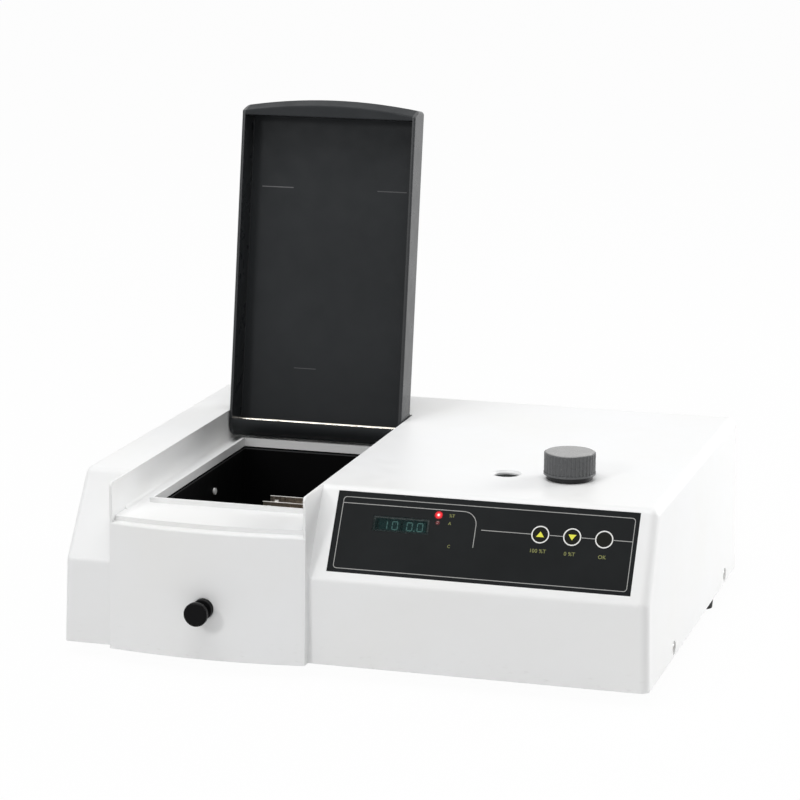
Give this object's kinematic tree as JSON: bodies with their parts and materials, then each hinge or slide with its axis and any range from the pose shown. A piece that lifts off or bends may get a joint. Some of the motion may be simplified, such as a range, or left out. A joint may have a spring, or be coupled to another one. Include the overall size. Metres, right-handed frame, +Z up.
{
  "type": "uv-vis spectrophotometer",
  "caption": "Bench spectrophotometer: open hinged sample lid, cell carriage on a pull rod, wavelength knob geared to a grating, sloping panel with keys and a display.",
  "frame": {"origin": "on the bench, under the centre of the whole object with its lid open", "axes": "+X to the right as seen by the user, +Y from the user to the back, +Z up"},
  "size_m": [0.43, 0.3764, 0.3738],
  "materials": {
    "cover_white": "moulded, fine texture",
    "lid_charcoal": "moulded, satin",
    "panel_dark": "printed film, matt",
    "display_tint": "tinted, glossy",
    "display_dark": "glossy",
    "lamp_red": "glossy",
    "key_black": "satin",
    "knob_grey": "moulded, satin",
    "plastic_black": "moulded, satin",
    "pull_black": "polished",
    "chamber_black": "matt",
    "carriage_black": "black anodised",
    "bright_steel": "bright",
    "screw_steel": "plated",
    "rubber_black": "matt",
    "pan_steel": "zinc plated",
    "panel_grey": "satin",
    "cast_alloy": "as cast",
    "optic_black": "black anodised",
    "gear_brass": "machined",
    "mirror_face": "coated",
    "clear_glass": "polished",
    "ceramic": "unglazed",
    "board_green": "satin",
    "core_iron": "varnished",
    "coil_tape": "taped",
    "dial_black": "printed, matt"
  },
  "bodies": {
    "casing": {"top_cover": "cover_white", "base_pan": "pan_steel", "rubber_feet": "rubber_black", "cover_screws": "screw_steel", "sample_chamber": "chamber_black", "chamber_screws": "screw_steel", "chamber_windows": "clear_glass", "hinge_rod": "bright_steel", "lid_buffers": "rubber_black", "panel_overlay": "panel_dark", "display_window": "display_tint", "display_module": "display_dark", "status_lamps": "lamp_red", "panel_board": "board_green", "key_switches": "plastic_black", "panel_screws": "screw_steel", "dial_window": "clear_glass", "bearing_bridge": "cast_alloy", "monochromator_case": "cast_alloy", "monochromator_lid": "cast_alloy", "collimating_mirror": "mirror_face", "focusing_mirror": "mirror_face", "mirror_mounts": "optic_black", "slit_plates": "optic_black", "exit_tube": "optic_black", "lamp_house": "cast_alloy", "halogen_lamp": "clear_glass", "lamp_socket": "ceramic", "condenser_lens": "clear_glass", "condenser_barrel": "optic_black", "detector_housing": "optic_black", "photodiode": "screw_steel", "detector_board": "board_green", "guide_rods": "bright_steel", "rod_bush": "plastic_black", "transformer_core": "core_iron", "transformer_coil": "coil_tape", "main_board": "board_green", "rear_panel": "panel_grey", "mains_inlet": "plastic_black", "switch_body": "plastic_black", "data_port": "screw_steel"},
    "lid": {"lid": "lid_charcoal"},
    "wavelength_drive": {"wavelength_knob": "knob_grey", "knob_collar": "plastic_black", "drive_shaft": "bright_steel", "drive_pinion": "gear_brass", "wavelength_dial": "dial_black"},
    "grating_turner": {"grating_holder": "optic_black", "diffraction_grating": "mirror_face", "sector_gear": "gear_brass"},
    "cell_carriage": {"carriage_block": "carriage_black", "cell_dividers": "bright_steel", "cell_springs": "bright_steel", "pull_rod": "bright_steel", "pull_knob": "pull_black"},
    "up_key": {"up_key": "key_black"},
    "down_key": {"down_key": "key_black"},
    "enter_key": {"enter_key": "key_black"},
    "switch_rocker": {"switch_rocker": "plastic_black"}
  },
  "joints": [
    {"name": "lid_hinge", "type": "hinge", "parent": "casing", "child": "lid", "pos_m": [-0.10315, 0.09975, 0.1225], "axis": [1, 0, 0], "range_deg": [0, 98.8]},
    {"name": "wavelength_turn", "type": "hinge", "parent": "casing", "child": "wavelength_drive", "pos_m": [0.1335, -0.05315, 0.13], "axis": [0, 0, 1], "range_deg": [-120, 120]},
    {"name": "grating_turn", "type": "hinge", "parent": "casing", "child": "grating_turner", "pos_m": [0.1335, 0.00685, 0.055], "axis": [0, 0, 1], "range_deg": [-13.5, 13.5]},
    {"name": "carriage_slide", "type": "slide", "parent": "casing", "child": "cell_carriage", "axis": [0, -1, 0], "range_m": [0, 0.0549]},
    {"name": "up_key_press", "type": "slide", "parent": "casing", "child": "up_key", "axis": [0, 0.8556, -0.5177], "range_m": [0, 0.0005], "stiffness_N_per_m": 800, "springref_m": -0.0005},
    {"name": "down_key_press", "type": "slide", "parent": "casing", "child": "down_key", "axis": [0, 0.8556, -0.5177], "range_m": [0, 0.0005], "stiffness_N_per_m": 800, "springref_m": -0.0005},
    {"name": "enter_key_press", "type": "slide", "parent": "casing", "child": "enter_key", "axis": [0, 0.8556, -0.5177], "range_m": [0, 0.0005], "stiffness_N_per_m": 800, "springref_m": -0.0005},
    {"name": "mains_rocker", "type": "hinge", "parent": "casing", "child": "switch_rocker", "pos_m": [-0.111, 0.17925, 0.048], "axis": [-1, 0, 0], "range_deg": [0, 22]}
  ],
  "couplings": [
    {"joint": "grating_turn", "follows": "wavelength_turn", "ratio": -0.11111}
  ]
}
